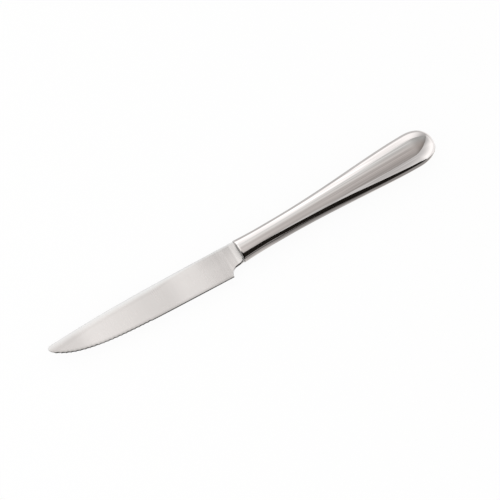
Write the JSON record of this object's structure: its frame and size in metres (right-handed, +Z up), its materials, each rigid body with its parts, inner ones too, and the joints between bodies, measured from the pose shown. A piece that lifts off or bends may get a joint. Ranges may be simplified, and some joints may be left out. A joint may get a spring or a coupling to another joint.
{
  "type": "steak knife",
  "caption": "Steak knife with a toothed satin blade that sweeps up to a round point, and a polished pear-shaped hollow handle.",
  "frame": {"origin": "on the surface that the knife lies on, under the middle of its box", "axes": "+X along the knife from the point to the butt, +Y from the cutting edge to the spine, +Z up through the blade's flat side"},
  "size_m": [0.232, 0.0208, 0.0114],
  "materials": {
    "satin_steel": "satin, with fine grinding lines across the blade",
    "polished_steel": "mirror-polished stainless steel",
    "braze": "polished flush with the shells",
    "cement": "dull, cast",
    "solder": "dull"
  },
  "bodies": {
    "root": {"blade": "satin_steel", "upper_handle_shell": "polished_steel", "lower_handle_shell": "polished_steel", "shell_seam_braze": "braze", "tang_cement": "cement", "neck_solder": "solder"}
  },
  "joints": []
}
